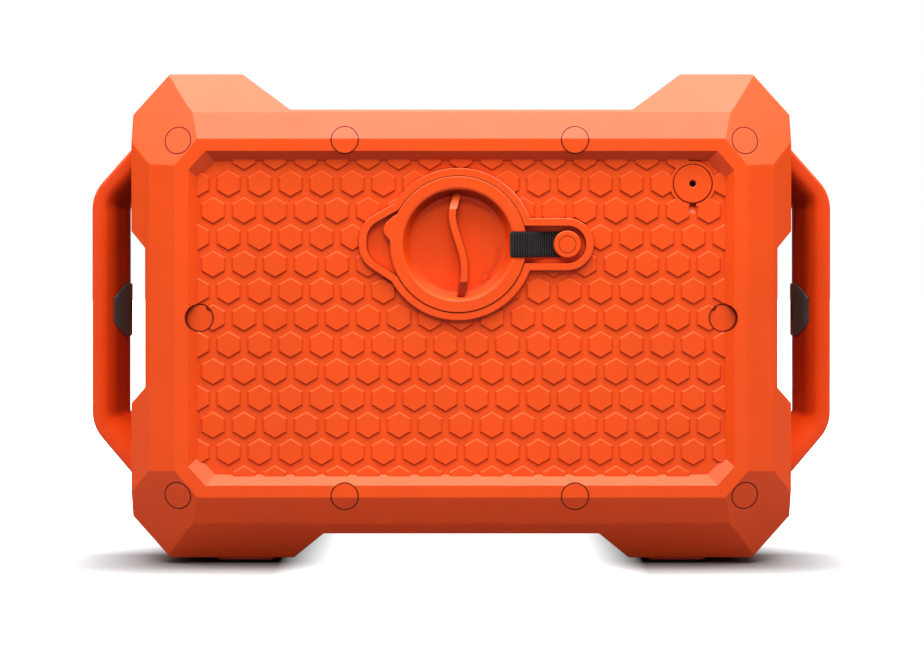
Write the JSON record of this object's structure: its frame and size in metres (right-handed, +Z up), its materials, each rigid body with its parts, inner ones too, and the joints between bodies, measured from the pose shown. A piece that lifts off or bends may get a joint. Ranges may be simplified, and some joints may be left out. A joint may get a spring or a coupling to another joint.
{
  "type": "portable bluetooth speaker",
  "caption": "Rugged box-shaped portable speaker with corner bumpers, side handles, hex-tiled back, twist port cap on a strap and a perforated front grille.",
  "frame": {"origin": "centre of the footprint, on the plane the feet stand on", "axes": "+X across the width, +Y out of the port side (back), -Y out of the grille, +Z up"},
  "size_m": [0.435, 0.222, 0.2776],
  "materials": {
    "orange_plastic": "moulded, fine satin texture",
    "orange_handle": "moulded, fine satin texture",
    "black_rubber": "matte",
    "black_webbing": "ribbed woven webbing",
    "dark_metal": "dark phosphate coat, worn at the edges",
    "zinc_steel": "zinc plated",
    "grille_metal": "textured powder coat",
    "black_plastic": "moulded, fine grain",
    "gloss_black": "polished",
    "cone_black": "pressed fibre cone",
    "ferrite": "sintered ferrite",
    "copper": "enamelled copper wire",
    "spider_cloth": "resin-treated cloth",
    "dome_alu": "anodised",
    "heat_alu": "extruded",
    "board_green": "solder mask",
    "battery_wrap": "shrink wrap",
    "wire_red": "insulation",
    "display_glass": "tinted",
    "display": "display",
    "membrane": "breathable membrane",
    "key_rubber": "moulded, matte",
    "nickel": "nickel plated"
  },
  "bodies": {
    "root": {"aux_jack": "nickel", "baffle": "black_plastic", "battery_pack": "battery_wrap", "battery_tray": "black_plastic", "bottle_opener_left": "dark_metal", "bottle_opener_right": "dark_metal", "control_board": "board_green", "control_panel": "black_plastic", "dc_jack": "black_plastic", "front_screws": "zinc_steel", "grille": "grille_metal", "handle_bolts": "zinc_steel", "handle_left": "orange_handle", "handle_right": "orange_handle", "heat_sink": "heat_alu", "housing_gasket": "black_rubber", "housing_screws": "zinc_steel", "lcd_module": "display", "lcd_window": "display_glass", "main_board": "board_green", "main_housing": "orange_plastic", "mic_jack": "black_plastic", "passive_frame": "black_plastic", "passive_surround": "black_rubber", "port_board": "board_green", "port_panel": "black_plastic", "rear_housing": "orange_plastic", "rubber_feet": "black_rubber", "screw_plugs": "orange_plastic", "small_screws": "zinc_steel", "tether_button": "orange_plastic", "tweeter_driver": "ferrite", "tweeter_horn": "gloss_black", "usb_port": "nickel", "vent_membrane": "membrane", "vent_plug": "orange_plastic", "wires": "wire_red", "woofer_basket": "grille_metal", "woofer_gasket": "black_rubber", "woofer_magnet": "ferrite", "woofer_spider": "spider_cloth", "woofer_surround": "black_rubber", "woofer_top_plate": "zinc_steel", "woofer_yoke": "zinc_steel"},
    "tether": {"tether_strap": "black_webbing"},
    "cap": {"port_cap": "orange_plastic", "cap_o_ring": "black_rubber"},
    "woofer_mover": {"woofer_cone": "cone_black", "woofer_dust_cap": "gloss_black", "woofer_voice_coil": "copper"},
    "tweeter_mover": {"tweeter_dome": "dome_alu"},
    "passive_mover": {"passive_plate": "cone_black"},
    "key_power_body": {"key_power": "key_rubber"},
    "key_light_body": {"key_light": "key_rubber"},
    "key_mode_body": {"key_mode": "key_rubber"},
    "key_prev_body": {"key_prev": "key_rubber"},
    "key_vol_down_body": {"key_vol_down": "key_rubber"},
    "key_play_body": {"key_play": "key_rubber"},
    "key_vol_up_body": {"key_vol_up": "key_rubber"},
    "key_next_body": {"key_next": "key_rubber"}
  },
  "joints": [
    {"name": "cap_pull", "type": "slide", "parent": "root", "child": "tether", "axis": [0, 1, 0], "range_m": [0, 0.034], "deforming": ["tether_strap"]},
    {"name": "cap_twist", "type": "hinge", "parent": "tether", "child": "cap", "pos_m": [0.0017, 0.1, 0.181], "axis": [0, 1, 0], "range_deg": [0, 26]},
    {"name": "woofer_stroke", "type": "slide", "parent": "root", "child": "woofer_mover", "axis": [0, -1, 0], "range_m": [-0.003, 0.003], "stiffness_N_per_m": 2000, "deforming": ["woofer_surround", "woofer_spider"]},
    {"name": "tweeter_stroke", "type": "slide", "parent": "root", "child": "tweeter_mover", "axis": [0, -1, 0], "range_m": [-0.0003, 0.0003], "stiffness_N_per_m": 4000},
    {"name": "passive_stroke", "type": "slide", "parent": "root", "child": "passive_mover", "axis": [0, -1, 0], "range_m": [-0.003, 0.003], "stiffness_N_per_m": 1000, "deforming": ["passive_surround"]},
    {"name": "key_power_press", "type": "slide", "parent": "root", "child": "key_power_body", "axis": [0, 0, -1], "range_m": [0, 0.0012], "stiffness_N_per_m": 800},
    {"name": "key_light_press", "type": "slide", "parent": "root", "child": "key_light_body", "axis": [0, 0, -1], "range_m": [0, 0.0012], "stiffness_N_per_m": 800},
    {"name": "key_mode_press", "type": "slide", "parent": "root", "child": "key_mode_body", "axis": [0, 0, -1], "range_m": [0, 0.0012], "stiffness_N_per_m": 800},
    {"name": "key_prev_press", "type": "slide", "parent": "root", "child": "key_prev_body", "axis": [0, 0, -1], "range_m": [0, 0.0012], "stiffness_N_per_m": 800},
    {"name": "key_vol_down_press", "type": "slide", "parent": "root", "child": "key_vol_down_body", "axis": [0, 0, -1], "range_m": [0, 0.0012], "stiffness_N_per_m": 800},
    {"name": "key_play_press", "type": "slide", "parent": "root", "child": "key_play_body", "axis": [0, 0, -1], "range_m": [0, 0.0012], "stiffness_N_per_m": 800},
    {"name": "key_vol_up_press", "type": "slide", "parent": "root", "child": "key_vol_up_body", "axis": [0, 0, -1], "range_m": [0, 0.0012], "stiffness_N_per_m": 800},
    {"name": "key_next_press", "type": "slide", "parent": "root", "child": "key_next_body", "axis": [0, 0, -1], "range_m": [0, 0.0012], "stiffness_N_per_m": 800}
  ]
}
